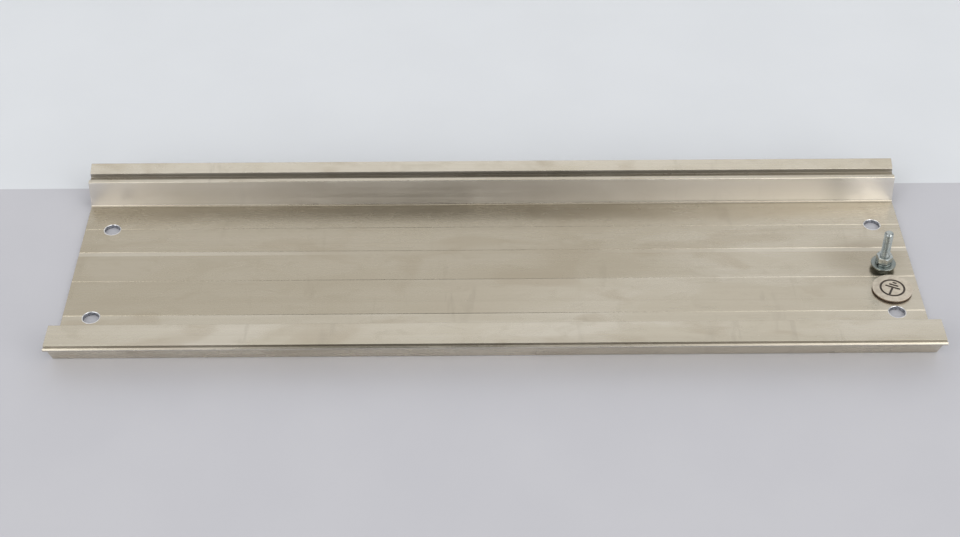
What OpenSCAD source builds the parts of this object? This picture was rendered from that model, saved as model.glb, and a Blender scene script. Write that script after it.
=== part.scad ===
// Extruded aluminium base channel with an earthing stud and an earth marker disc.
// Frame: X along the extrusion, Y across it, Z up. The origin is at the middle of the
// length and of the overall width, on the plane that the underside rests on.
// The front rail (-Y) ends in an overhanging lip, the back rail (+Y) carries a slot.

/* [Channel] */
// Length of the extrusion
length = 750; // [400:10:2000]
// Overall width across both rails
width = 250; // [230:1:320]
// Thickness of the floor
floor_t = 3.5; // [2.5:0.1:5]
// Thickness of the rail walls
wall_t = 2.9; // [2:0.1:3.2]
// Height of the front rail above the resting plane
front_rail_h = 31; // [28:0.5:36]
// Lean of the rails' inner walls away from upright, in degrees
wall_lean = 11; // [6:1:13]

/* [Fixing holes] */
// Distance between the holes along the length
hole_pitch_x = 700; // [350:10:1950]
// Distance between the holes across the width
hole_pitch_y = 119; // [80:1:140]
// Distance of the hole pattern's middle behind the middle of the width
pattern_y = 3; // [0:0.5:5]
// Diameter of each fixing hole
hole_d = 14; // [8:0.5:16]

/* [Earth stud] */
// Outer diameter of the thread
stud_d = 8; // [6:1:10]
// Height of the stud above the channel floor
stud_h = 40; // [32:1:60]
// Across flats size of both nuts
nut_af = 13; // [11:1:17]
// Thickness of the thin nut that locks the stud to the floor
jam_nut_t = 4; // [3:0.5:5]
// Thickness of the clamping nut
nut_t = 6.5; // [5:0.5:8]
// Outer diameter of the flat washer
washer_d = 22; // [18:1:24]

/* [Earth marker] */
// Diameter of the marker disc
marker_d = 35; // [25:1:36]
// Distance from the stud to the middle of the marker, towards the front rail
marker_gap = 31; // [31:0.5:36]
// Turn of the earth symbol, in degrees
symbol_turn = 64; // [0:1:359]

/* [Hidden] */
$fn = 96;
arc_steps = 7;

// Rail shapes, as distances outwards from the foot of the rail's inner wall
front_rail_w = 34.9;
back_rail_w = 28.1;
tray_w = width - front_rail_w - back_rail_w;
tray_y = (front_rail_w - back_rail_w) / 2;
foot_fillet = 2;
edge_chamfer = 0.4;
underside_r = 0.8;

// Front rail: a hollow wedge with a rounded lip that overhangs its outer face
crest_r = 1;
lip_r = 1.7;
lip_drop = 0.1;
lip_notch_w = 0.5;
lip_notch_depth = 1.6;
lip_reach = 6;
front_foot_w = 14.1;
lip_top_u = front_rail_w - 2 * lip_r - lip_notch_w;
lip_under_h = front_rail_h - lip_drop - 2 * lip_r;
front_web_u = front_rail_w - lip_reach;
front_slope = (front_web_u - front_foot_w) / (lip_under_h - underside_r);

// Back rail: a low inner ledge, a square slot, and a raised sloping strip behind it
ledge_h = 28.2;
ledge_r = 0.9;
slot_u = 9.1;
slot_w = 7.7;
slot_floor_h = 25;
strip_front_h = 29.4;
strip_back_h = 33.5;
strip_t = 2.2;
strip_overhang = 6;
back_foot_w = 16.8;
outer_face_u = back_rail_w - strip_overhang;
back_slope = 0.57;

// Grooves along the floor: [distance from the middle of the hole pattern, width, depth,
// width of the bottom]. Three are scribed lines and one is wide and shallow
floor_grooves = [
    [60, 0.6, 0.25, 0.1],
    [24.8, 5.6, 0.4, 4.8],
    [-12.5, 0.6, 0.25, 0.1],
    [-57.4, 0.8, 0.35, 0.1]
];

// Earth stud and the stack on it
stud_inset = 1.5;
stud_x = hole_pitch_x / 2 - stud_inset;
stud_y = pattern_y;
stud_tip = floor_t + stud_h;
stud_head_d = 11;
stud_head_t = 2.2;
stud_chamfer = 1.2;
thread_root_d = stud_d - 1.4;
thread_root_w = 0.7;
nut_clearance = 0.05;
washer_clearance = 0.2;
washer_t = 1.6;
lock_washer_d = 14.8;
lock_washer_t = 2;
lock_washer_gap = 1.2;
lock_washer_turn = 215;
nut_turn = 8;
jam_nut_turn = 30;
nut_bevel = 30;
jam_nut_z = floor_t;
washer_z = jam_nut_z + jam_nut_t;
lock_washer_z = washer_z + washer_t;
nut_z = lock_washer_z + lock_washer_t;
free_thread_z = nut_z + nut_t + thread_root_w;

// Marker disc: an adhesive pad, a dark core, and a light face with the symbol engraved in it
marker_pad_t = 0.5;
marker_core_t = 1.5;
marker_face_t = 0.6;
marker_pad_inset = 0.6;
engraving_depth = 0.4;
marker_outset = 1;
marker_x = hole_pitch_x / 2 + marker_outset;
marker_y = stud_y - marker_gap;
ring_r = 0.295 * marker_d;
symbol_line = 1.9;
bar_spacing = 0.089 * marker_d;
bar_lengths = [0.39, 0.25, 0.11];
first_bar = 0.025 * marker_d;

// Points along an arc from angle a0 to angle a1
function arc(centre, r, a0, a1) = [
    for (i = [0 : arc_steps])
        let (a = a0 + (a1 - a0) * i / arc_steps)
        centre + r * [cos(a), sin(a)]
];

// Distance outwards of the inner wall's face at height z
function wall_u(z) = (z - floor_t) * tan(wall_lean);

// Tangent length of an arc that joins the wall to a level face
function wall_tangent(r) = r * tan((90 - wall_lean) / 2);

// From the floor up the inner wall to a rounded edge at height h
function inner_wall(h, r) = concat(
    arc([-wall_tangent(foot_fillet), floor_t + foot_fillet], foot_fillet, -90, -wall_lean),
    arc([wall_u(h) + wall_tangent(r), h - r], r, 180 - wall_lean, 90)
);

// Outline of the front rail from its inner foot round to its underside
front_outline = concat(
    inner_wall(front_rail_h, crest_r),
    [[lip_top_u, front_rail_h]],
    [[lip_top_u, front_rail_h - lip_notch_depth]],
    arc([front_rail_w - lip_r, lip_under_h + lip_r], lip_r, 120, -90),
    [[front_web_u, lip_under_h]],
    [[front_foot_w, underside_r]],
    [[front_foot_w - underside_r, 0]]
);

// Outline of the back rail from its inner foot round to its underside
back_outline = concat(
    inner_wall(ledge_h, ledge_r),
    [[slot_u - edge_chamfer, ledge_h], [slot_u, ledge_h - edge_chamfer]],
    [[slot_u, slot_floor_h], [slot_u + slot_w, slot_floor_h]],
    [[slot_u + slot_w, strip_front_h]],
    [[back_rail_w - underside_r, strip_back_h], [back_rail_w, strip_back_h - underside_r]],
    [[back_rail_w, strip_back_h - underside_r - strip_t]],
    [[outer_face_u, strip_front_h - edge_chamfer]],
    [[outer_face_u, underside_r + (outer_face_u - back_foot_w) / back_slope]],
    [[back_foot_w, underside_r]],
    [[back_foot_w - underside_r, 0]]
);

// Distance outwards of the inside of a sloping outer wall at height z
function outer_wall_inside(foot_w, slope, z) =
    foot_w + (z - underside_r) * slope - wall_t * sqrt(1 + slope * slope);

// Hollow inside the front rail
front_chamber_h = front_rail_h - wall_t;
front_chamber = [
    [wall_t, floor_t],
    [outer_wall_inside(front_foot_w, front_slope, floor_t), floor_t],
    [outer_wall_inside(front_foot_w, front_slope, front_chamber_h), front_chamber_h],
    [wall_u(front_chamber_h) + wall_t, front_chamber_h]
];

// Hollow inside the back rail, under the slot
back_chamber_h = slot_floor_h - wall_t;
back_chamber_foot = outer_wall_inside(back_foot_w, back_slope, floor_t);
back_chamber_u = outer_face_u - wall_t;
back_chamber = [
    [wall_t, floor_t],
    [back_chamber_foot, floor_t],
    [back_chamber_u, floor_t + (back_chamber_u - back_chamber_foot) / back_slope],
    [back_chamber_u, back_chamber_h],
    [wall_u(back_chamber_h) + wall_t, back_chamber_h]
];

// Points on the front or the back side of the tray, in the frame's own Y and Z
function front_side(points) = [for (p = points) [tray_y - tray_w / 2 - p[0], p[1]]];
function back_side(points) = [for (p = points) [tray_y + tray_w / 2 + p[0], p[1]]];
function reversed(points) = [for (i = [len(points) - 1 : -1 : 0]) points[i]];

// Extrudes an outline in Y and Z along X, a little past both ends if asked
module extrusion(points, past = 0) {
    rotate([90, 0, 90])
        translate([0, 0, -length / 2 - past])
            linear_extrude(height = length + 2 * past)
                polygon(points);
}

// A drilled hole with a small chamfer at its mouth
module drilled_hole(x, y) {
    chamfer = 0.5;
    translate([x, y, -1])
        cylinder(d = hole_d, h = floor_t + 2);
    translate([x, y, floor_t - chamfer])
        cylinder(d1 = hole_d, d2 = hole_d + 4 * chamfer, h = 2 * chamfer);
}

// A groove along the floor. Its slanted sides run on to as far above the floor as it is deep
module floor_groove(line) {
    y = pattern_y + line[0];
    depth = line[2];
    bottom = line[3] / 2;
    top = line[1] - bottom;
    extrusion([
        [y - top, floor_t + depth],
        [y - bottom, floor_t - depth],
        [y + bottom, floor_t - depth],
        [y + top, floor_t + depth]
    ], 1);
}

module base_channel() {
    color("lightgoldenrodyellow")
    difference() {
        extrusion(concat(front_side(reversed(front_outline)), back_side(back_outline)));
        extrusion(front_side(front_chamber), 1);
        extrusion(back_side(back_chamber), 1);
        for (line = floor_grooves)
            floor_groove(line);
        for (x = [-1, 1], y = [-1, 1])
            drilled_hole(x * hole_pitch_x / 2, pattern_y + y * hole_pitch_y / 2);
        translate([stud_x, stud_y, -1])
            cylinder(d = stud_d, h = floor_t + 2);
        translate([stud_x, stud_y, -1])
            cylinder(d = stud_head_d, h = stud_head_t + 1);
    }
}

// Clinched stud with its head flush in the underside. The thread is drawn plain, but for one
// root just above the nut, where the free end starts.
module earth_stud() {
    color("lightsteelblue")
    translate([stud_x, stud_y, 0]) {
        cylinder(d = stud_head_d, h = stud_head_t);
        cylinder(d = stud_d, h = nut_z + nut_t);
        cylinder(d = thread_root_d, h = free_thread_z);
        translate([0, 0, free_thread_z])
            cylinder(d = stud_d, h = stud_tip - stud_chamfer - free_thread_z);
        translate([0, 0, stud_tip - stud_chamfer])
            cylinder(d1 = stud_d, d2 = stud_d - 2 * stud_chamfer, h = stud_chamfer);
    }
}

// Hexagon nut with its corners bevelled at both ends
module nut(height, bore_d, turn) {
    corner_r = nut_af / 2 / cos(30);
    flat_r = 0.48 * nut_af;
    outside_r = corner_r + 1;
    bevel_h = (outside_r - flat_r) * tan(nut_bevel);
    difference() {
        intersection() {
            rotate(turn)
                cylinder(r = corner_r, h = height, $fn = 6);
            rotate_extrude()
                polygon([
                    [0, 0],
                    [flat_r, 0],
                    [outside_r, bevel_h],
                    [outside_r, height - bevel_h],
                    [flat_r, height],
                    [0, height]
                ]);
        }
        translate([0, 0, -1])
            cylinder(d = bore_d, h = height + 2);
    }
}

// Flat ring
module ring(outer_d, inner_d, height) {
    difference() {
        cylinder(d = outer_d, h = height);
        translate([0, 0, -1])
            cylinder(d = inner_d, h = height + 2);
    }
}

module jam_nut() {
    color("slategray")
    translate([stud_x, stud_y, jam_nut_z])
        nut(jam_nut_t, stud_d, jam_nut_turn);
}

module flat_washer() {
    color("silver")
    translate([stud_x, stud_y, washer_z])
        ring(washer_d, stud_d + 2 * washer_clearance, washer_t);
}

// Split spring washer, pressed flat
module lock_washer() {
    color("dimgray")
    translate([stud_x, stud_y, lock_washer_z])
        difference() {
            ring(lock_washer_d, stud_d + 2 * washer_clearance, lock_washer_t);
            rotate(lock_washer_turn)
                translate([0, -lock_washer_gap / 2, -1])
                    cube([lock_washer_d, lock_washer_gap, lock_washer_t + 2]);
        }
}

module hex_nut() {
    color("darkseagreen")
    translate([stud_x, stud_y, nut_z])
        nut(nut_t, stud_d + 2 * nut_clearance, nut_turn);
}

module marker_pad() {
    color("saddlebrown")
    translate([marker_x, marker_y, floor_t])
        cylinder(d = marker_d - 2 * marker_pad_inset, h = marker_pad_t);
}

module marker_core() {
    color("black")
    translate([marker_x, marker_y, floor_t + marker_pad_t])
        cylinder(d = marker_d, h = marker_core_t);
}

// The engraved lines of the earth symbol: a ring, a stem, and three bars that get shorter
module earth_symbol(height) {
    ring(2 * ring_r + symbol_line, 2 * ring_r - symbol_line, height);
    translate([-ring_r, -symbol_line / 2, 0])
        cube([ring_r + first_bar, symbol_line, height]);
    for (i = [0 : len(bar_lengths) - 1])
        translate([first_bar + i * bar_spacing - symbol_line / 2, -bar_lengths[i] * marker_d / 2, 0])
            cube([symbol_line, bar_lengths[i] * marker_d, height]);
}

module marker_face() {
    color("wheat")
    translate([marker_x, marker_y, floor_t + marker_pad_t + marker_core_t])
        difference() {
            cylinder(d = marker_d, h = marker_face_t);
            rotate(symbol_turn)
                translate([0, 0, marker_face_t - engraving_depth])
                    earth_symbol(1);
        }
}

base_channel();
earth_stud();
jam_nut();
flat_washer();
lock_washer();
hex_nut();
marker_pad();
marker_core();
marker_face();
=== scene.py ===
"""Looks of an extruded aluminium base channel with an earthing stud and an earth marker disc."""

import math

import bmesh
import bpy
from mathutils import Matrix, Vector, geometry, noise


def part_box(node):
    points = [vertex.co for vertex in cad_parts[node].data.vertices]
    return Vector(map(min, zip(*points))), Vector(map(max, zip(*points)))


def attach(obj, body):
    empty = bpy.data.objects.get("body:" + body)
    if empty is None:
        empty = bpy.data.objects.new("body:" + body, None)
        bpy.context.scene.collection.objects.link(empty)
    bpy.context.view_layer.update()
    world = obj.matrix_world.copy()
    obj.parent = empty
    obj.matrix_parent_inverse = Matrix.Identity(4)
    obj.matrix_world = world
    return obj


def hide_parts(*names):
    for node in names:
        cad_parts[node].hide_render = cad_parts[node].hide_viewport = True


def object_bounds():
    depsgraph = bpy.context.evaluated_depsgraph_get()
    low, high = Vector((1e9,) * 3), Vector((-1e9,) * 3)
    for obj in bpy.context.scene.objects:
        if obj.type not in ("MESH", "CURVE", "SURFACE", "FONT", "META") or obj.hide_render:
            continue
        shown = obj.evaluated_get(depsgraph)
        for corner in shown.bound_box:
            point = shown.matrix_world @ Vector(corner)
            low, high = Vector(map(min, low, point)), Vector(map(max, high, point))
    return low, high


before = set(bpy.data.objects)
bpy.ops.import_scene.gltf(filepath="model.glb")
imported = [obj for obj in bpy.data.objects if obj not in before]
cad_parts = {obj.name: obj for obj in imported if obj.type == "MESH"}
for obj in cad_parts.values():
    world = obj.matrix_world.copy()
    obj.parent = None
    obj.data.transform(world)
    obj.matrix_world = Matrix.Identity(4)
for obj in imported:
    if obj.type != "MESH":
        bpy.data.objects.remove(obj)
cad_low, cad_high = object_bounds()

MM = 0.001

# Channel section, in millimetres, as in the CAD source except at the front lip. u is the distance
# outwards from the foot of a rail's inner wall and z is the height above the underside.
FLOOR_T = 3.5
TRAY_FRONT_Y = -90.1
TRAY_BACK_Y = 96.9
PATTERN_Y = 3.0
WALL_SLOPE = math.tan(math.radians(11))
FRONT_RAIL_H = 31.0
LEDGE_H = 28.2
SLOT_FRONT_U = 9.1
SLOT_BACK_U = 16.8
SLOT_FLOOR_H = 25.0
NOTCH_INNER_U = 31.0
NOTCH_OUTER_U = 32.6
NOTCH_FLOOR_H = 29.4
HOLE_X = 350.0
HOLE_Y = 59.5
HOLE_R = 7.0
HOLE_CHAMFER = 0.25
# Grooves along the floor: distance from the pattern's middle, width, depth, width of the bottom
FLOOR_GROOVES = [
    (-57.4, 0.8, 0.35, 0.1),
    (-12.5, 0.6, 0.25, 0.1),
    (24.8, 5.6, 0.4, 4.8),
    (60.0, 0.6, 0.25, 0.1),
]
END_CHAMFER = 0.15

THREAD_PITCH = 1.25
THREAD_R = 4.0
THREAD_ROOT_R = 3.3
STUD_HEAD_T = 2.2
NUT_AF = 13.0
NUT_TURN = 8.0
JAM_NUT_TURN = 30.0
SYMBOL_TURN = 64.0


def centre_of(node):
    """Middle of a CAD node's box, in millimetres."""
    low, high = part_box(node)
    return (low + high) / 2 / MM


def span_of(node):
    """Lowest and highest Z of a CAD node, in millimetres."""
    low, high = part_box(node)
    return low.z / MM, high.z / MM


def groove_place(number):
    """Y of a floor groove's middle, in metres."""
    return (PATTERN_Y + FLOOR_GROOVES[number][0]) * MM


# ---------------------------------------------------------------- outlines


def rounded(corners, steps=5):
    """Closed outline through (u, z, radius) corners, each one turned on an arc of its radius."""
    points = []
    for i, (u, z, radius) in enumerate(corners):
        corner = Vector((u, z))
        if radius == 0:
            points.append(corner)
            continue
        before = (Vector(corners[i - 1][:2]) - corner).normalized()
        after = (Vector(corners[(i + 1) % len(corners)][:2]) - corner).normalized()
        half = before.angle(after) / 2
        centre = corner + (before + after).normalized() * (radius / math.sin(half))
        start = corner + before * (radius / math.tan(half)) - centre
        turn = math.pi - 2 * half
        if start.x * (after - before).y - start.y * (after - before).x < 0:
            turn = -turn
        for k in range(steps + 1):
            a = turn * k / steps
            points.append(
                centre
                + Vector(
                    (
                        start.x * math.cos(a) - start.y * math.sin(a),
                        start.x * math.sin(a) + start.y * math.cos(a),
                    )
                )
            )
    return points


def arc_corners(u, z, radius, start, end, steps=10):
    """Corners with no rounding along an arc, for use inside a list of corners."""
    angles = [math.radians(start + (end - start) * k / steps) for k in range(steps + 1)]
    return [(u + radius * math.cos(a), z + radius * math.sin(a), 0) for a in angles]


def front_rail_corners():
    """Front rail from the foot of its inner wall round its lip to the underside.

    The CAD's lip is a round bead. Here it has a wider notch and a facet, up to 1 mm away from that.
    """
    crest_u = (FRONT_RAIL_H - FLOOR_T) * WALL_SLOPE
    return [
        (0, FLOOR_T, 2.0),
        (crest_u, FRONT_RAIL_H, 1.0),
        (NOTCH_INNER_U, FRONT_RAIL_H, 0.15),
        (NOTCH_INNER_U, NOTCH_FLOOR_H, 0.1),
        (NOTCH_OUTER_U, 29.5, 0.1),
        (33.6, 30.85, 0.15),
        (34.75, 29.75, 0.2),
        *arc_corners(33.2, 29.2, 1.7, 12, -90),
        (28.9, 27.5, 0.5),
        (13.64, 0, 0.8),
    ]


def back_rail_corners():
    """Back rail from the foot of its inner wall over the slot and the raised strip to its foot."""
    ledge_u = (LEDGE_H - FLOOR_T) * WALL_SLOPE
    return [
        (0, FLOOR_T, 2.0),
        (ledge_u, LEDGE_H, 0.9),
        (SLOT_FRONT_U, LEDGE_H, 0.5),
        (SLOT_FRONT_U, SLOT_FLOOR_H, 0.3),
        (SLOT_BACK_U, SLOT_FLOOR_H, 0.3),
        (SLOT_BACK_U, 29.4, 0.4),
        (28.1, 33.5, 0.9),
        (28.1, 30.5, 0.6),
        (22.1, 29.0, 0.8),
        (22.1, 10.1, 0.8),
        (16.34, 0, 0.8),
    ]


def floor_corners():
    """Tray floor from front to back, with its scribed lines and its wide shallow groove."""
    corners = []
    for place, width, depth, bottom in FLOOR_GROOVES:
        y = PATTERN_Y + place
        corners.append((y - width / 2, FLOOR_T, 0))
        corners.append((y - bottom / 2, FLOOR_T - depth, 0))
        corners.append((y + bottom / 2, FLOOR_T - depth, 0))
        corners.append((y + width / 2, FLOOR_T, 0))
    return corners


def channel_outline():
    front = [(TRAY_FRONT_Y - u, z, r) for u, z, r in reversed(front_rail_corners())]
    back = [(TRAY_BACK_Y + u, z, r) for u, z, r in back_rail_corners()]
    return rounded(front + floor_corners() + back)


def chamber_outlines():
    """The two hollows that run along the inside of the rails."""
    front = [(2.9, 3.5, 0.8), (12.3, 3.5, 0.8), (25.9, 28.1, 0.8), (7.68, 28.1, 1.0)]
    back = [
        (2.9, 3.5, 0.8),
        (15.0, 3.5, 0.8),
        (19.2, 10.9, 0.8),
        (19.2, 22.1, 0.5),
        (6.52, 22.1, 0.6),
    ]
    return [
        rounded([(TRAY_FRONT_Y - u, z, r) for u, z, r in front], 3),
        rounded([(TRAY_BACK_Y + u, z, r) for u, z, r in back], 3),
    ]


def inset(points, distance):
    """Outline moved inwards by a small distance, point by point, for an anticlockwise outline."""
    moved = []
    for i, p in enumerate(points):
        ahead = (points[(i + 1) % len(points)] - p).normalized()
        behind = (p - points[i - 1]).normalized()
        along = (ahead + behind).normalized()
        moved.append(p + Vector((-along.y, along.x)) * distance)
    return moved


def anticlockwise(points):
    area = sum(a.x * b.y - b.x * a.y for a, b in zip(points, points[1:] + points[:1]))
    return points if area > 0 else points[::-1]


# ---------------------------------------------------------------- mesh building


def piece(name, bm, materials, node, body, smooth_below=35, weighted=True):
    """Turns a bmesh in millimetres into a finished piece that stands for a CAD node."""
    bmesh.ops.scale(bm, vec=(MM, MM, MM), verts=bm.verts)
    mesh = bpy.data.meshes.new(name)
    bm.to_mesh(mesh)
    bm.free()
    for material in materials:
        mesh.materials.append(material)
    mesh.shade_smooth()
    mesh.set_sharp_from_angle(angle=math.radians(smooth_below))
    obj = bpy.data.objects.new(name, mesh)
    bpy.context.scene.collection.objects.link(obj)
    if weighted:
        normals = obj.modifiers.new("face_weighted_normals", "WEIGHTED_NORMAL")
        normals.keep_sharp = True
        normals.weight = 100
    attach(obj, body)
    if node:
        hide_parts(node)
    return obj


def lathe(bm, centre, outline, steps=96, shape=None):
    """Turns a closed (radius, z) outline about the vertical through centre. shape(angle, r, z) may
    move each point."""
    rings = []
    for i in range(steps):
        a = 2 * math.pi * i / steps
        ring = []
        for r, z in outline:
            if shape:
                r, z = shape(a, r, z)
            ring.append(
                bm.verts.new((centre.x + r * math.cos(a), centre.y + r * math.sin(a), z))
            )
        rings.append(ring)
    count = len(outline)
    for i in range(steps):
        a, b = rings[i], rings[(i + 1) % steps]
        for k in range(count):
            m = (k + 1) % count
            bm.faces.new((a[k], b[k], b[m], a[m]))
    bmesh.ops.recalc_face_normals(bm, faces=bm.faces)
    return bm


def solid_lathe(bm, centre, outline, steps=96, shape=None):
    """Like lathe, for an open outline whose ends lie on the axis."""
    bottom = bm.verts.new((centre.x, centre.y, outline[0][1]))
    top = bm.verts.new((centre.x, centre.y, outline[-1][1]))
    rings = []
    for i in range(steps):
        a = 2 * math.pi * i / steps
        ring = []
        for r, z in outline[1:-1]:
            if shape:
                r, z = shape(a, r, z)
            ring.append(
                bm.verts.new((centre.x + r * math.cos(a), centre.y + r * math.sin(a), z))
            )
        rings.append(ring)
    for i in range(steps):
        a, b = rings[i], rings[(i + 1) % steps]
        bm.faces.new((bottom, b[0], a[0]))
        for k in range(len(a) - 1):
            bm.faces.new((a[k], b[k], b[k + 1], a[k + 1]))
        bm.faces.new((top, a[-1], b[-1]))
    bmesh.ops.recalc_face_normals(bm, faces=bm.faces)
    return bm


def extrusion(bm, outer, inner, half_length):
    """Extrudes an outline with hollows along X, with its cut ends slightly chamfered."""
    uv = bm.loops.layers.uv.new("along_and_across")
    stations = [
        (-half_length, END_CHAMFER),
        (-half_length + END_CHAMFER, 0),
        (half_length - END_CHAMFER, 0),
        (half_length, END_CHAMFER),
    ]
    loops = [anticlockwise(outer)] + [anticlockwise(loop)[::-1] for loop in inner]
    ends = {0: [], len(stations) - 1: []}
    for loop in loops:
        lengths = [0.0]
        for a, b in zip(loop, loop[1:] + loop[:1]):
            lengths.append(lengths[-1] + (b - a).length)
        rings = []
        for x, inwards in stations:
            shape = inset(loop, inwards) if inwards else loop
            rings.append([bm.verts.new((x, p.x, p.y)) for p in shape])
        for s in range(len(stations) - 1):
            x0, x1 = stations[s][0], stations[s + 1][0]
            for k in range(len(loop)):
                m = (k + 1) % len(loop)
                face = bm.faces.new((rings[s][k], rings[s][m], rings[s + 1][m], rings[s + 1][k]))
                places = (
                    (lengths[k], x0),
                    (lengths[k + 1], x0),
                    (lengths[k + 1], x1),
                    (lengths[k], x1),
                )
                for corner, (across, along) in zip(face.loops, places):
                    corner[uv].uv = (across * MM, along * MM)
        for s in ends:
            ends[s].append(rings[s])
    for rings in ends.values():
        flat = [v for ring in rings for v in ring]
        paths = [[Vector((v.co.y, v.co.z, 0)) for v in ring] for ring in rings]
        for a, b, c in geometry.tessellate_polygon(paths):
            face = bm.faces.new((flat[a], flat[b], flat[c]))
            for corner in face.loops:
                corner[uv].uv = (corner.vert.co.y * MM, corner.vert.co.z * MM)
    bmesh.ops.recalc_face_normals(bm, faces=bm.faces)
    return bm


def cut_away(bm, cutters):
    """Subtracts closed bmeshes from bm, and returns the result as a new bmesh."""
    objects = []
    for shape in [bm, *cutters]:
        mesh = bpy.data.meshes.new("cut")
        shape.to_mesh(mesh)
        shape.free()
        obj = bpy.data.objects.new("cut", mesh)
        bpy.context.scene.collection.objects.link(obj)
        objects.append(obj)
    body = objects[0]
    for tool in objects[1:]:
        step = body.modifiers.new("cut", "BOOLEAN")
        step.operation = "DIFFERENCE"
        step.solver = "EXACT"
        step.object = tool
    bpy.context.view_layer.update()
    result = bpy.data.meshes.new_from_object(
        body.evaluated_get(bpy.context.evaluated_depsgraph_get())
    )
    for obj in objects:
        bpy.data.objects.remove(obj)
    out = bmesh.new()
    out.from_mesh(result)
    bpy.data.meshes.remove(result)
    return out


# ---------------------------------------------------------------- materials


class Surface:
    """A node material that is built up step by step. Lengths in its patterns are per metre."""

    def __init__(self, name):
        self.material = bpy.data.materials.new(name)
        self.material.use_nodes = True
        self.tree = self.material.node_tree
        self.shader = self.tree.nodes["Principled BSDF"]
        self.place = self.tree.nodes.new("ShaderNodeTexCoord").outputs["Object"]
        self.normal = None

    def node(self, kind, **values):
        made = self.tree.nodes.new(kind)
        for key, value in values.items():
            setattr(made, key, value)
        return made

    def link(self, source, target):
        self.tree.links.new(source, target)

    def put(self, value, socket):
        """Links an output to a socket, or sets the socket to a plain value."""
        if isinstance(value, bpy.types.NodeSocket):
            self.link(value, socket)
        else:
            socket.default_value = value

    def noise(self, stretch, detail=3.0, roughness=0.5, distortion=0.0, shift=0.0):
        """Noise with so many cells per metre along X, Y and Z."""
        mapping = self.node("ShaderNodeMapping")
        self.link(self.place, mapping.inputs["Vector"])
        mapping.inputs["Scale"].default_value = stretch
        mapping.inputs["Location"].default_value = (shift, shift * 0.7, shift * 1.3)
        pattern = self.node("ShaderNodeTexNoise")
        self.link(mapping.outputs["Vector"], pattern.inputs["Vector"])
        pattern.inputs["Scale"].default_value = 1.0
        pattern.inputs["Detail"].default_value = detail
        pattern.inputs["Roughness"].default_value = roughness
        pattern.inputs["Distortion"].default_value = distortion
        return pattern.outputs["Fac"]

    def between(self, value, low, high, to_low=0.0, to_high=1.0):
        """Takes low..high of a value to to_low..to_high, smoothly and clamped."""
        change = self.node("ShaderNodeMapRange", interpolation_type="SMOOTHSTEP")
        self.link(value, change.inputs["Value"])
        change.inputs["From Min"].default_value = low
        change.inputs["From Max"].default_value = high
        change.inputs["To Min"].default_value = to_low
        change.inputs["To Max"].default_value = to_high
        return change.outputs["Result"]

    def math(self, operation, a, b=0.0):
        step = self.node("ShaderNodeMath", operation=operation)
        for value, socket in zip((a, b), step.inputs):
            self.put(value, socket)
        return step.outputs["Value"]

    def product(self, first, *others):
        for value in others:
            first = self.math("MULTIPLY", first, value)
        return first

    def total(self, first, *others):
        for value in others:
            first = self.math("ADD", first, value)
        return first

    def mix(self, amount, a, b):
        """Mixes two colours."""
        step = self.node("ShaderNodeMix", data_type="RGBA", blend_type="MIX")
        sockets = {s.identifier: s for s in step.inputs}
        self.put(amount, sockets["Factor_Float"])
        self.put(a, sockets["A_Color"])
        self.put(b, sockets["B_Color"])
        return next(s for s in step.outputs if s.identifier == "Result_Color")

    def bump(self, height, depth_mm, strength=1.0):
        """Adds relief of a given depth on top of any relief added before."""
        step = self.node("ShaderNodeBump")
        self.link(height, step.inputs["Height"])
        step.inputs["Strength"].default_value = strength
        step.inputs["Distance"].default_value = depth_mm * MM
        if self.normal:
            self.link(self.normal, step.inputs["Normal"])
        self.normal = step.outputs["Normal"]

    def axis_value(self, axis, source=None):
        """One coordinate of the place on the object, or of another vector."""
        split = self.node("ShaderNodeSeparateXYZ")
        self.link(source or self.place, split.inputs["Vector"])
        return split.outputs[axis]

    def finish(self, colour, roughness, **constants):
        """Sets the shader's sockets. Constants are given by socket name with _ for a space."""
        self.put(colour, self.shader.inputs["Base Color"])
        self.put(roughness, self.shader.inputs["Roughness"])
        for key, value in constants.items():
            self.shader.inputs[key.replace("_", " ")].default_value = value
        if self.normal:
            self.link(self.normal, self.shader.inputs["Normal"])
        return self.material


def floor_dust(s, colour, x, y, on_floor):
    """Dust on the tray's floor behind its front line, most at the left and behind its middle line."""
    front_line = groove_place(0)
    middle_line = groove_place(1)
    line_w = 0.0005
    dust = s.between(x, -0.15, 0.12, 0.55, 0.15)
    behind_middle = s.between(y, middle_line, middle_line + line_w)
    back_dust = s.product(behind_middle, s.between(x, 0.08, 0.26, 0.55, 0.12))
    dust = s.math("MAXIMUM", dust, back_dust)
    behind_front = s.between(y, front_line, front_line + line_w, 0.15, 1.0)
    return s.mix(s.product(dust, behind_front, on_floor), colour, (0.40, 0.345, 0.25, 1))


def wall_grey_and_painted_shade(s, colour, z, steep):
    """Steep faces are greyer, with painted shade that darkens them towards their tops."""
    # Painted shade: the steep faces darken towards their tops
    dust = s.product(steep, s.between(z, 0.006, 0.026, 0.0, 0.5))
    colour = s.mix(dust, colour, (0.46, 0.41, 0.33, 1))
    return s.mix(s.product(steep, 0.55), colour, (0.61, 0.60, 0.60, 1))


def stud_painted_shadow(s, colour, x, y, on_floor, stains):
    """Painted shadow and reflection of the stud on the floor: a brownish patch with a ragged outline
    beside the stud.
    """
    shadow_x = s.math("SUBTRACT", x, 0.337)
    shadow_y = s.product(s.math("SUBTRACT", y, 0.014), 1.4)
    distance = s.math("SQRT", s.total(s.product(shadow_x, shadow_x), s.product(shadow_y, shadow_y)))
    ragged = s.total(distance, s.product(stains, 0.03))
    shadow_patch = s.product(s.between(ragged, 0.030, 0.070, 0.55, 0.0), on_floor)
    return s.mix(shadow_patch, colour, (0.36, 0.31, 0.23, 1))


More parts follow.
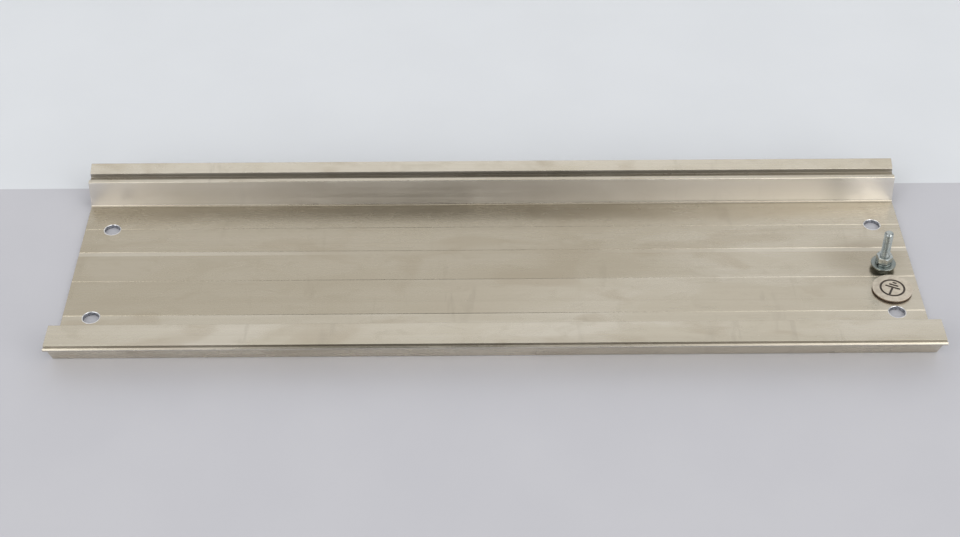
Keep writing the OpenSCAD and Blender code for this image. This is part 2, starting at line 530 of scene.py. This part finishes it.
def slot_and_notch_painted_shade(s, colour, y, z):
    """Painted shade in the slot and the notch behind the lip.

    The slot's depth is a guess, and without this it comes out too bright.
    """
    slot_front = (TRAY_BACK_Y + SLOT_FRONT_U) * MM
    slot_back = (TRAY_BACK_Y + SLOT_BACK_U) * MM
    notch_front = (TRAY_FRONT_Y - NOTCH_OUTER_U) * MM
    notch_back = (TRAY_FRONT_Y - NOTCH_INNER_U) * MM
    notch_floor = NOTCH_FLOOR_H * MM
    in_slot = s.product(
        s.between(y, slot_front - 0.0008, slot_front + 0.0002),
        s.between(z, 0.0275, 0.0285, 1.0, 0.0),
        s.between(y, slot_back - 0.0001, slot_back + 0.0003, 1.0, 0.0),
    )
    in_notch = s.product(
        s.between(y, notch_front - 0.0004, notch_front),
        s.between(y, notch_back - 0.0002, notch_back + 0.0001, 1.0, 0.0),
        s.between(z, notch_floor - 0.0004, notch_floor - 0.0002),
    )
    slot_notch_shade = s.product(s.math("MAXIMUM", in_slot, in_notch), 0.5)
    return s.mix(slot_notch_shade, colour, (0.10, 0.09, 0.07, 1))


def corner_painted_shade(s, colour, x, y, z):
    """Painted shade in the corner at the foot of the back wall, most at the right."""
    corner = s.product(
        s.between(y, 0.0945, 0.0960),
        s.between(z, 0.0050, 0.0062, 1.0, 0.0),
        s.between(x, 0.02, 0.20, 0.0, 0.45),
    )
    return s.mix(corner, colour, (0.24, 0.21, 0.16, 1))


def in_wide_groove(s, y, z):
    """1 on the bottom of the wide groove in the floor, and 0 elsewhere."""
    off_middle = s.math("ABSOLUTE", s.math("SUBTRACT", y, groove_place(2)))
    return s.product(
        s.between(off_middle, 0.0024, 0.0027, 1.0, 0.0), s.between(z, 0.004, 0.005, 1.0, 0.0)
    )


def mill_aluminium():
    """Extruded aluminium: die lines along X, cloudy marks, stains, dust, painted shade and sawn ends.

    Dust, painted shade and tints lie at set places on the channel. They were fitted by comparing
    brightness, and some of them make up for light or shape that the model does not have.
    """
    s = Surface("mill_aluminium")
    fine_lines = s.noise((2.5, 1400, 1400), detail=2)
    die_lines = s.noise((1.2, 330, 330), detail=4, roughness=0.6, shift=3)
    bands = s.noise((0.9, 55, 55), detail=3, shift=7)
    clouds = s.noise((7, 16, 16), detail=5, roughness=0.55, distortion=0.6, shift=11)
    smears = s.noise((28, 60, 60), detail=4, roughness=0.6, distortion=1.5, shift=17)
    specks = s.noise((420, 900, 900), detail=1, shift=23)
    scores = s.noise((10, 60, 2200), detail=2, shift=31)
    stains = s.noise((11, 24, 24), detail=3, roughness=0.5, distortion=0.8, shift=41)
    finger_marks = s.noise((55, 9, 9), detail=3, roughness=0.6, distortion=0.5, shift=47)
    x, y, z = (s.axis_value(axis) for axis in "XYZ")
    normal = s.node("ShaderNodeNewGeometry").outputs["Normal"]
    steep = s.between(s.math("ABSOLUTE", s.axis_value("Z", normal)), 0.3, 0.5, 1.0, 0.0)
    end_face = s.between(s.math("ABSOLUTE", s.axis_value("X", normal)), 0.9, 0.98)
    on_floor = s.between(z, 0.004, 0.008, 1.0, 0.0)
    groove = in_wide_groove(s, y, z)

    warm = (0.625, 0.570, 0.465, 1)
    pale = (0.690, 0.640, 0.545, 1)
    dull = (0.545, 0.495, 0.400, 1)
    colour = s.mix(s.between(clouds, 0.35, 0.65), warm, pale)
    colour = s.mix(s.between(bands, 0.45, 0.75, 0, 0.5), colour, dull)
    colour = s.mix(s.between(die_lines, 0.5, 0.8, 0, 0.35), colour, dull)
    colour = s.mix(s.between(fine_lines, 0.5, 0.8, 0, 0.2), colour, pale)
    colour = s.mix(s.between(smears, 0.50, 0.75, 0, 0.5), colour, dull)
    colour = s.mix(s.between(specks, 0.78, 0.84, 0, 0.5), colour, (0.22, 0.19, 0.15, 1))
    colour = s.mix(s.between(stains, 0.50, 0.66, 0, 0.34), colour, (0.46, 0.39, 0.29, 1))
    colour = s.mix(s.between(finger_marks, 0.60, 0.72, 0, 0.26), colour, (0.42, 0.38, 0.31, 1))
    colour = floor_dust(s, colour, x, y, on_floor)
    colour = wall_grey_and_painted_shade(s, colour, z, steep)
    colour = stud_painted_shadow(s, colour, x, y, on_floor, stains)
    colour = slot_and_notch_painted_shade(s, colour, y, z)
    colour = corner_painted_shade(s, colour, x, y, z)
    # Painted shade: the lip is a little darker
    colour = s.mix(s.between(y, -0.1236, -0.1232, 0.45, 0.0), colour, (0.44, 0.40, 0.33, 1))
    # Painted reflection: the wide groove is paler towards both ends
    groove_painted_light = s.product(groove, s.between(s.math("ABSOLUTE", x), 0.05, 0.28, 0.0, 0.4))
    colour = s.mix(groove_painted_light, colour, (0.78, 0.74, 0.66, 1))
    colour = s.mix(s.product(end_face, 0.5), colour, (0.80, 0.79, 0.76, 1))

    roughness = s.total(
        s.between(clouds, 0.3, 0.7, 0.23, 0.29),
        s.between(die_lines, 0.3, 0.7, -0.02, 0.03),
        s.between(smears, 0.5, 0.8, 0.0, 0.04),
        s.product(steep, 0.07),
        s.product(groove, 0.12),
        s.product(end_face, 0.16),
    )

    s.bump(fine_lines, 0.006)
    s.bump(die_lines, 0.018)
    s.bump(bands, 0.10)
    # Short scores across the sawn ends
    s.bump(s.product(scores, end_face), 0.05)

    tangent = s.node("ShaderNodeTangent", direction_type="UV_MAP", uv_map="along_and_across")
    s.link(tangent.outputs["Tangent"], s.shader.inputs["Tangent"])
    return s.finish(colour, roughness, Metallic=1.0, Anisotropic=0.40)


def bare_edge_aluminium(name, light, dark):
    """Freshly cut metal round the drilled holes, between two greys."""
    s = Surface(name)
    tool_marks = s.noise((900, 900, 2600), detail=2)
    chips = s.noise((500, 500, 500), detail=3, shift=5)
    colour = s.mix(s.between(chips, 0.4, 0.6), light, dark)
    s.bump(tool_marks, 0.03)
    s.bump(chips, 0.06)
    return s.finish(colour, s.between(chips, 0.3, 0.7, 0.20, 0.38), Metallic=1.0)


def zinc_plate(name="zinc_plate", threaded=False, axis=None, shade_amount=0.0):
    """Bright zinc on steel, with a faint blue passivation that drifts to yellow in places."""
    s = Surface(name)
    drift = s.noise((140, 140, 140), detail=3, shift=2)
    grain = s.noise((2200, 2200, 2200), detail=2, shift=9)
    stains = s.noise((420, 420, 420), detail=4, roughness=0.65, distortion=0.8, shift=13)
    blue = (0.42, 0.47, 0.48, 1)
    grey = (0.52, 0.55, 0.54, 1)
    yellow = (0.48, 0.50, 0.42, 1)
    colour = s.mix(s.between(drift, 0.35, 0.60), blue, grey)
    colour = s.mix(s.between(drift, 0.58, 0.75, 0, 0.6), colour, yellow)
    colour = s.mix(s.between(stains, 0.50, 0.70, 0, 0.6), colour, (0.22, 0.24, 0.22, 1))
    # Painted shade: a darker copy of the zinc for the parts low in the stack
    colour = s.mix(shade_amount, colour, (0.13, 0.15, 0.13, 1))
    if threaded:
        # Grime lies in the roots of the thread, and the crests are rubbed bright
        x = s.math("SUBTRACT", s.axis_value("X"), axis.x * MM)
        y = s.math("SUBTRACT", s.axis_value("Y"), axis.y * MM)
        radius = s.math("SQRT", s.total(s.product(x, x), s.product(y, y)))
        root = s.between(radius, THREAD_ROOT_R * MM, (THREAD_R - 0.15) * MM, 0.75, 0.0)
        upward = s.axis_value("Z", s.node("ShaderNodeNewGeometry").outputs["Normal"])
        root = s.product(root, s.between(upward, 0.90, 0.98, 1.0, 0.0))
        colour = s.mix(root, colour, (0.16, 0.17, 0.17, 1))
    s.bump(grain, 0.012)
    s.bump(stains, 0.02)
    return s.finish(colour, s.between(stains, 0.3, 0.75, 0.20, 0.42), Metallic=1.0)


def pale_laminate():
    """Satin champagne face of the marker, with fine brushing and small rubbed spots."""
    s = Surface("pale_laminate")
    brushing = s.noise((60, 2600, 2600), detail=2)
    mottling = s.noise((260, 260, 260), detail=4, shift=4)
    rubs = s.noise((700, 1100, 700), detail=2, shift=8)
    colour = s.mix(s.between(mottling, 0.35, 0.65), (0.50, 0.44, 0.36, 1), (0.59, 0.53, 0.44, 1))
    colour = s.mix(s.between(brushing, 0.45, 0.8, 0, 0.25), colour, (0.46, 0.40, 0.32, 1))
    colour = s.mix(s.between(rubs, 0.70, 0.78, 0, 0.6), colour, (0.33, 0.27, 0.21, 1))
    s.bump(brushing, 0.010)
    roughness = s.between(mottling, 0.3, 0.7, 0.34, 0.46)
    return s.finish(colour, roughness, Metallic=0.35, Specular_IOR_Level=0.5)


def dark_laminate(name, light, dark):
    """Dark brown core of the marker, turned at its edge and bare at the bottom of the engraving."""
    s = Surface(name)
    turning = s.noise((120, 120, 3500), detail=2)
    dust = s.noise((1500, 1500, 1500), detail=2, shift=6)
    colour = s.mix(s.between(turning, 0.35, 0.65), light, dark)
    colour = s.mix(s.between(dust, 0.62, 0.75, 0, 0.4), colour, (0.20, 0.16, 0.12, 1))
    s.bump(turning, 0.02)
    s.bump(dust, 0.01)
    return s.finish(colour, s.between(dust, 0.3, 0.7, 0.38, 0.55))


def foam_adhesive():
    """Closed-cell foam tape under the marker."""
    s = Surface("foam_adhesive")
    cells = s.node("ShaderNodeTexVoronoi")
    s.link(s.place, cells.inputs["Vector"])
    cells.inputs["Scale"].default_value = 3500
    soil = s.noise((400, 400, 400), detail=3)
    colour = s.mix(s.between(soil, 0.4, 0.7), (0.035, 0.030, 0.026, 1), (0.09, 0.08, 0.07, 1))
    s.bump(cells.outputs["Distance"], 0.08)
    return s.finish(colour, s.between(soil, 0.3, 0.7, 0.75, 0.95))


def stage_surface(name, colour, other, roughness):
    """Plain sheet for the table, with very faint mottling."""
    s = Surface(name)
    mottling = s.noise((9, 9, 9), detail=4)
    tone = s.mix(s.between(mottling, 0.3, 0.7), colour, other)
    return s.finish(tone, roughness, Specular_IOR_Level=0.2)


# ---------------------------------------------------------------- pieces


def hole_cutter(x, y):
    """Drill with a countersunk mouth."""
    rim = HOLE_R + HOLE_CHAMFER
    outline = [
        (0, -1),
        (HOLE_R, -1),
        (HOLE_R, FLOOR_T - HOLE_CHAMFER),
        (rim, FLOOR_T),
        (rim + 1, FLOOR_T + 1),
        (0, FLOOR_T + 1),
    ]
    return solid_lathe(bmesh.new(), Vector((x, y)), outline, 72)


def stud_cutter(centre):
    """Stud hole with the pocket for its clinched head."""
    head_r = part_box("earth_stud")[1].x / MM - centre.x
    outline = [
        (0, -1),
        (head_r, -1),
        (head_r, STUD_HEAD_T),
        (THREAD_R, STUD_HEAD_T),
        (THREAD_R, FLOOR_T + 1),
        (0, FLOOR_T + 1),
    ]
    return solid_lathe(bmesh.new(), centre, outline, 72)


def hole_places():
    return [
        Vector((sx * HOLE_X, PATTERN_Y + sy * HOLE_Y)) for sx in (-1, 1) for sy in (-1, 1)
    ]


def build_channel(materials):
    bm = extrusion(bmesh.new(), channel_outline(), chamber_outlines(), cad_high.x / MM)
    cutters = [hole_cutter(p.x, p.y) for p in hole_places()]
    cutters.append(stud_cutter(centre_of("earth_stud")))
    bm = cut_away(bm, cutters)
    # Faces inside a hole face its axis: they get the cut metal, darkened as painted shade in the
    # holes
    for face in bm.faces:
        middle = face.calc_center_median()
        near = min((middle.xy - p).length for p in hole_places())
        if near < HOLE_R + 1 and abs(face.normal.z) < 0.95:
            face.material_index = 1
    return piece("channel", bm, materials, "base_channel", "base")


def build_burrs(material):
    """Thin raised edge that the drill left round each hole."""
    bm = bmesh.new()
    rim = HOLE_R + HOLE_CHAMFER
    outline = rounded(
        [
            (rim - 0.15, FLOOR_T - 0.15, 0),
            (rim + 0.10, FLOOR_T + 0.16, 0.08),
            (rim + 0.85, FLOOR_T - 0.05, 0),
        ],
        3,
    )
    for number, place in enumerate(hole_places()):

        def ragged(a, r, z):
            lift = noise.noise(Vector((math.cos(a) * 2.2, math.sin(a) * 2.2, 5.0 * number)))
            fine = noise.noise(Vector((math.cos(a) * 9, math.sin(a) * 9, 3.0 * number)))
            if z <= FLOOR_T:
                return r + 0.10 * lift, z
            return r + 0.10 * lift, z + 0.10 * lift + 0.06 * fine

        lathe(bm, place, [(p.x, p.y) for p in outline], 96, ragged)
    return piece("hole_burrs", bm, [material], None, "base", 60, False)


def build_stud(material):
    """Threaded stud with a real helix, a chamfered tip and a flush clinched head."""
    centre = centre_of("earth_stud")
    low, high = span_of("earth_stud")
    tip_chamfer = 1.2
    around = 48
    start = STUD_HEAD_T + 0.6
    depth = THREAD_R - THREAD_ROOT_R
    # (part of a pitch, depth below the crest)
    profile = [
        (0.00, 0.0),
        (0.10, 0.03),
        (0.30, 0.80 * depth),
        (0.42, depth),
        (0.58, depth),
        (0.70, 0.80 * depth),
        (0.90, 0.03),
    ]
    per_turn = len(profile)
    turns = math.ceil((high - start) / THREAD_PITCH) + 2
    bm = bmesh.new()
    grid = []
    for j in range(turns * per_turn):
        row = []
        for i in range(around):
            part, below = profile[j % per_turn]
            z = start + THREAD_PITCH * (j // per_turn - 1 + part + i / around)
            z = min(max(z, start), high)
            r = THREAD_R - below
            # The thread runs out at the foot and is cut back at the tip's chamfer
            r = min(r, THREAD_R - (tip_chamfer - (high - z)))
            a = 2 * math.pi * i / around
            row.append(bm.verts.new((centre.x + r * math.cos(a), centre.y + r * math.sin(a), z)))
        grid.append(row)
    for j in range(len(grid) - per_turn - 1):
        for i in range(around):
            if i < around - 1:
                near, far = (j, i), (j, i + 1)
                up_near, up_far = (j + 1, i), (j + 1, i + 1)
            else:
                near, far = (j, i), (j + per_turn, 0)
                up_near, up_far = (j + 1, i), (j + 1 + per_turn, 0)
            corners = [grid[a][b] for a, b in (near, far, up_far, up_near)]
            bm.faces.new(corners)
    bmesh.ops.remove_doubles(bm, verts=bm.verts, dist=0.002)
    bmesh.ops.dissolve_degenerate(bm, dist=0.001, edges=bm.edges)
    loose = [v for v in bm.verts if not v.link_faces]
    bmesh.ops.delete(bm, geom=loose, context="VERTS")
    rim = [e for e in bm.edges if e.is_boundary]
    bmesh.ops.holes_fill(bm, edges=rim, sides=0)
    bmesh.ops.recalc_face_normals(bm, faces=bm.faces)
    # Head, with the small knurl that bites into the sheet, flush with the underside
    head_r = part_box("earth_stud")[1].x / MM - centre.x
    shank = start + 0.2
    corners = [
        (0, low, 0),
        (head_r, low, 0.25),
        (head_r, STUD_HEAD_T, 0.2),
        (THREAD_R, STUD_HEAD_T, 0),
        (THREAD_R, shank, 0.2),
        (0, shank, 0),
    ]
    outline = [(p.x, p.y) for p in rounded(corners, 3)]

    def knurled(a, r, z):
        bite = 0.10 * math.cos(24 * a) if r > head_r - 0.3 and z > low + 0.5 else 0
        return r - abs(bite), z

    solid_lathe(bm, centre, outline, 96, knurled)
    return piece("stud", bm, [material], "earth_stud", "base", 40, False)


def build_nut(name, node, body, turn, material):
    """Hexagon nut: corners bevelled at both ends and a countersunk bore."""
    centre = centre_of(node)
    low, high = span_of(node)
    corner_r = NUT_AF / 2 / math.cos(math.radians(30))
    worn_corner_r = 0.988 * corner_r
    face_r = 0.48 * NUT_AF
    bevel = math.tan(math.radians(30))
    bore_r = THREAD_R + 0.03
    sink = 0.4
    around = 120

    def outside(a):
        off = (math.degrees(a) - turn - 30) % 60 - 30
        return min(NUT_AF / 2 / math.cos(math.radians(off)), worn_corner_r)

    outline = [
        (bore_r, low + sink),
        (bore_r + sink, low),
        (face_r, low),
        (corner_r, low),
        (corner_r, high),
        (face_r, high),
        (bore_r + sink, high),
        (bore_r, high - sink),
    ]

    def shape(a, r, z):
        if r < corner_r:
            return r, z
        edge = outside(a)
        drop = max(0.0, edge - face_r) * bevel
        return edge, (z + drop if z == low else z - drop)

    bm = lathe(bmesh.new(), centre, outline, around, shape)
    nut = piece(name, bm, [material], node, body, 25, False)
    edges = nut.modifiers.new("worn_edges", "BEVEL")
    edges.limit_method = "ANGLE"
    edges.angle_limit = math.radians(24)
    edges.width = 0.12 * MM
    edges.segments = 2
    edges.harden_normals = True
    return nut


def build_flat_washer(material):
    """Punched washer: rolled over on its upper edge and sharp on the lower."""
    centre = centre_of("flat_washer")
    low, high = span_of("flat_washer")
    outer_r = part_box("flat_washer")[1].x / MM - centre.x
    inner_r = THREAD_R + 0.2
    corners = [
        (inner_r, low, 0.08),
        (outer_r, low, 0.12),
        (outer_r, high, 0.45),
        (inner_r, high, 0.25),
    ]
    outline = [(p.x, p.y) for p in rounded(corners, 4)]
    bm = lathe(bmesh.new(), centre, outline, 96)
    return piece("plain_washer", bm, [material], "flat_washer", "washers")


def build_lock_washer(material):
    """Split spring washer with a slanted slit and slightly offset ends."""
    centre = centre_of("lock_washer")
    low, high = span_of("lock_washer")
    outer_r = 7.4
    inner_r = THREAD_R + 0.2
    gap = 1.2
    gap_turn = math.radians(215)
    offset = 0.10
    corners = [
        (inner_r, low + offset, 0.2),
        (outer_r, low + offset, 0.2),
        (outer_r, high - offset, 0.2),
        (inner_r, high - offset, 0.2),
    ]
    outline = rounded(corners, 3)
    steps = 96
    slit = gap / (inner_r + outer_r)
    bm = bmesh.new()
    rings = []
    for i in range(steps + 1):
        part = i / steps
        lift = offset * (2 * part - 1)
        ring = []
        for p in outline:
            slant = (p.y - low) / (high - low) - 0.5
            a = gap_turn + slit + (2 * math.pi - 2 * slit) * part + slant * slit
            ring.append(
                bm.verts.new(
                    (centre.x + p.x * math.cos(a), centre.y + p.x * math.sin(a), p.y + lift)
                )
            )
        rings.append(ring)
    for a, b in zip(rings, rings[1:]):
        for k in range(len(outline)):
            m = (k + 1) % len(outline)
            bm.faces.new((a[k], b[k], b[m], a[m]))
    bm.faces.new(rings[0])
    bm.faces.new(rings[-1])
    bmesh.ops.recalc_face_normals(bm, faces=bm.faces)
    return piece("spring_washer", bm, [material], "lock_washer", "washers")


def disc_outline(radius, low, high, lower_round, upper_round):
    corners = [(0, low, 0), (radius, low, lower_round), (radius, high, upper_round), (0, high, 0)]
    return [(p.x, p.y) for p in rounded(corners, 4)]


def build_pad(material):
    """Foam tape, squeezed a little unevenly."""
    centre = centre_of("marker_pad")
    low, high = span_of("marker_pad")
    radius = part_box("marker_pad")[1].x / MM - centre.x

    def squeezed(a, r, z):
        if r < radius - 0.3:
            return r, z
        return r - 0.12 * abs(noise.noise(Vector((3 * math.cos(a), 3 * math.sin(a), 0)))), z

    outline = disc_outline(radius, low, high, 0.1, 0.1)
    bm = solid_lathe(bmesh.new(), centre, outline, 96, squeezed)
    return piece("marker_tape", bm, [material], "marker_pad", "base")


def build_core(material):
    centre = centre_of("marker_core")
    low, high = span_of("marker_core")
    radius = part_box("marker_core")[1].x / MM - centre.x
    outline = disc_outline(radius, low, high, 0.35, 0.05)
    bm = solid_lathe(bmesh.new(), centre, outline, 128)
    return piece("marker_body", bm, [material], "marker_core", "base")


def stadium(start, end, width):
    """Outline of a cutter's path from start to end, with round ends."""
    along = (end - start).normalized()
    heading = math.atan2(along.y, along.x)
    points = []
    for middle, first in ((end, heading - math.pi / 2), (start, heading + math.pi / 2)):
        for k in range(9):
            a = first + math.pi * k / 8
            points.append(middle + Vector((math.cos(a), math.sin(a))) * (width / 2))
    return points


def prism(outline, low, high):
    bm = bmesh.new()
    bottom = [bm.verts.new((p.x, p.y, low)) for p in outline]
    top = [bm.verts.new((p.x, p.y, high)) for p in outline]
    bm.faces.new(bottom[::-1])
    bm.faces.new(top)
    for k in range(len(outline)):
        m = (k + 1) % len(outline)
        bm.faces.new((bottom[k], bottom[m], top[m], top[k]))
    bmesh.ops.recalc_face_normals(bm, faces=bm.faces)
    return bm


def build_face(pale, dark):
    """Marker face with the earth symbol engraved down to the dark colour."""
    centre = centre_of("marker_face")
    low, high = span_of("marker_face")
    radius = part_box("marker_face")[1].x / MM - centre.x
    depth = 0.4
    line = 1.9
    ring_r = 0.295 * 2 * radius
    first_bar = 0.025 * 2 * radius
    spacing = 0.089 * 2 * radius
    bar_lengths = [part * 2 * radius for part in (0.39, 0.25, 0.11)]

    outline = disc_outline(radius, low, high, 0.04, 0.14)
    bm = solid_lathe(bmesh.new(), centre, outline, 128)
    middle = Vector((centre.x, centre.y))
    turn = Matrix.Rotation(math.radians(SYMBOL_TURN), 2)

    def cutter(start, end):
        path = stadium(middle + turn @ Vector(start), middle + turn @ Vector(end), line)
        return prism(path, high - depth, high + 1)

    tools = [cutter((-ring_r, 0), (first_bar, 0))]
    for number, length in enumerate(bar_lengths):
        at = first_bar + number * spacing
        half = (length - line) / 2
        tools.append(cutter((at, -half), (at, half)))
    ring = [
        (ring_r - line / 2, high - depth),
        (ring_r + line / 2, high - depth),
        (ring_r + line / 2, high + 1),
        (ring_r - line / 2, high + 1),
    ]
    tools.append(lathe(bmesh.new(), middle, ring, 96))
    bm = cut_away(bm, tools)
    for face in bm.faces:
        spot = face.calc_center_median()
        inside = (spot.xy - middle).length < ring_r + line
        if inside and low + 0.01 < spot.z < high - 0.01:
            face.material_index = 1
    return piece("marker_plate", bm, [pale, dark], "marker_face", "base")


# ---------------------------------------------------------------- stage, light and camera


def sheet(name, low, high, z, material):
    """Flat part of the table top, a finely divided grid."""
    bm = bmesh.new()
    bmesh.ops.create_grid(bm, x_segments=24, y_segments=24, size=0.5)
    for v in bm.verts:
        v.co.x = low[0] + (v.co.x + 0.5) * (high[0] - low[0])
        v.co.y = low[1] + (v.co.y + 0.5) * (high[1] - low[1])
        v.co.z = z
    mesh = bpy.data.meshes.new(name)
    bm.to_mesh(mesh)
    bm.free()
    mesh.materials.append(material)
    obj = bpy.data.objects.new(name, mesh)
    bpy.context.scene.collection.objects.link(obj)


def build_stage():
    """Pale table with a lighter board behind the channel."""
    border_y = cad_high.y + 0.004
    reach = 6.0
    gap = 0.0003
    grey = stage_surface("table", (0.480, 0.480, 0.512, 1), (0.495, 0.495, 0.525, 1), 0.55)
    white = stage_surface("board", (0.630, 0.650, 0.677, 1), (0.645, 0.665, 0.692, 1), 0.7)
    sheet("table_top", (-reach, -reach), (reach, border_y), -gap, grey)
    sheet("back_board", (-reach, border_y), (reach, reach), -gap, white)


def build_world():
    """Pale surroundings with a lamp on either side in front and a dark figure between them."""
    world = bpy.data.worlds.new("studio")
    world.use_nodes = True
    tree = world.node_tree
    place = tree.nodes.new("ShaderNodeTexCoord").outputs["Generated"]
    split = tree.nodes.new("ShaderNodeSeparateXYZ")
    tree.links.new(place, split.inputs["Vector"])
    x, y, z = split.outputs

    def step(operation, a, b=0.0):
        made = tree.nodes.new("ShaderNodeMath")
        made.operation = operation
        for value, socket in zip((a, b), made.inputs):
            if isinstance(value, bpy.types.NodeSocket):
                tree.links.new(value, socket)
            else:
                socket.default_value = value
        return made.outputs["Value"]

    def between(value, low, high, to_low, to_high):
        made = tree.nodes.new("ShaderNodeMapRange")
        made.interpolation_type = "SMOOTHSTEP"
        tree.links.new(value, made.inputs["Value"])
        for key, number in (
            ("From Min", low),
            ("From Max", high),
            ("To Min", to_low),
            ("To Max", to_high),
        ):
            made.inputs[key].default_value = number
        return made.outputs["Result"]

    # Both lamps and the figure are in front only. The left lamp ends lower than the right one
    aside = step("ADD", x, 0.03)
    front = between(y, -0.35, -0.15, 1.0, 0.0)
    right_lamp = step("MULTIPLY", between(aside, 0.11, 0.24, 0.0, 0.95), front)
    left_lamp = step("MULTIPLY", between(aside, -0.24, -0.08, 1.0, 0.0), front)
    left_lamp = step("MULTIPLY", left_lamp, between(z, 0.60, 0.90, 1.0, -0.25))
    figure = between(aside, -0.17, -0.05, 0.0, 0.97)
    figure = step("MULTIPLY", figure, between(aside, 0.08, 0.19, 1.0, 0.0))
    light = step("ADD", between(z, 0.25, 0.95, 0.72, 0.90), step("ADD", left_lamp, right_lamp))
    light = step("MULTIPLY", light, step("SUBTRACT", 1.0, step("MULTIPLY", figure, front)))
    # A low glow fills the gap near the horizon, more on either side
    glow = step("ADD", between(aside, -0.24, -0.08, 1.4, 0.08), between(aside, 0.08, 0.21, 0.0, 1.6))
    low_in_front = step("MULTIPLY", between(z, 0.20, 0.48, 1.0, 0.0), front)
    light = step("ADD", light, step("MULTIPLY", glow, low_in_front))
    background = tree.nodes["Background"]
    background.inputs["Color"].default_value = (1.0, 1.0, 1.0, 1)
    tree.links.new(light, background.inputs["Strength"])
    bpy.context.scene.world = world


def softbox(name, place, aim, width, height, watts, colour=(1, 1, 1)):
    light = bpy.data.lights.new(name, "AREA")
    light.shape = "RECTANGLE"
    light.size = width
    light.size_y = height
    light.energy = watts
    light.color = colour
    obj = bpy.data.objects.new(name, light)
    obj.location = place
    obj.rotation_mode = "QUATERNION"
    obj.rotation_quaternion = (Vector(aim) - Vector(place)).to_track_quat("-Z", "Y")
    bpy.context.scene.collection.objects.link(obj)


def build_lights():
    softbox("left_lamp", (-1.5, -1.7, 1.9), (0, 0, 0), 0.8, 0.8, 5)
    softbox("right_lamp", (1.6, -1.6, 1.8), (0, 0, 0), 0.8, 0.8, 6, (1.0, 0.98, 0.94))


def build_camera():
    """The camera stands in front of the tray's middle and looks down at it."""
    focal_pixels = 1670.8
    image_width = 960
    place = Vector((-0.0188, -1.1245, 0.9855))
    down = math.radians(41.01)
    aside = math.radians(0.342)
    roll = math.radians(-0.176)
    forward = Vector(
        (math.sin(aside) * math.cos(down), math.cos(aside) * math.cos(down), -math.sin(down))
    )
    level = Vector((math.cos(aside), -math.sin(aside), 0))
    upright = level.cross(forward)
    right = math.cos(roll) * level + math.sin(roll) * upright
    up = -math.sin(roll) * level + math.cos(roll) * upright
    data = bpy.data.cameras.new("camera")
    data.sensor_width = 36
    data.lens = focal_pixels / image_width * data.sensor_width
    obj = bpy.data.objects.new("camera", data)
    obj.matrix_world = Matrix((right, up, -forward)).transposed().to_4x4()
    obj.location = place
    bpy.context.scene.collection.objects.link(obj)
    bpy.context.scene.camera = obj


def build_object():
    aluminium = mill_aluminium()
    # The cut metal in the holes is a darker copy of the burrs' metal: painted shade
    cut = bare_edge_aluminium("shaded_cut_aluminium", (0.46, 0.47, 0.50, 1), (0.26, 0.27, 0.29, 1))
    burr = bare_edge_aluminium("bright_burr", (0.86, 0.86, 0.87, 1), (0.66, 0.66, 0.67, 1))
    zinc = zinc_plate()
    # Darker copy of the zinc: painted shade on the jam nut and washers under the clamping nut
    shaded_zinc = zinc_plate("painted_shade_zinc", shade_amount=0.55)
    thread = zinc_plate("zinc_thread", True, centre_of("earth_stud"))
    edge = dark_laminate("dark_laminate", (0.130, 0.078, 0.048, 1), (0.070, 0.042, 0.026, 1))
    engraved = dark_laminate("engraved_laminate", (0.060, 0.044, 0.032, 1), (0.030, 0.022, 0.016, 1))
    build_channel([aluminium, cut])
    build_burrs(burr)
    build_stud(thread)
    build_nut("thin_nut", "jam_nut", "base", JAM_NUT_TURN, shaded_zinc)
    build_flat_washer(shaded_zinc)
    build_lock_washer(shaded_zinc)
    build_nut("clamping_nut", "hex_nut", "nut", NUT_TURN, zinc)
    build_pad(foam_adhesive())
    build_core(edge)
    build_face(pale_laminate(), engraved)


build_object()
build_stage()
build_world()
build_lights()
build_camera()
bpy.context.scene.view_settings.view_transform = "Standard"
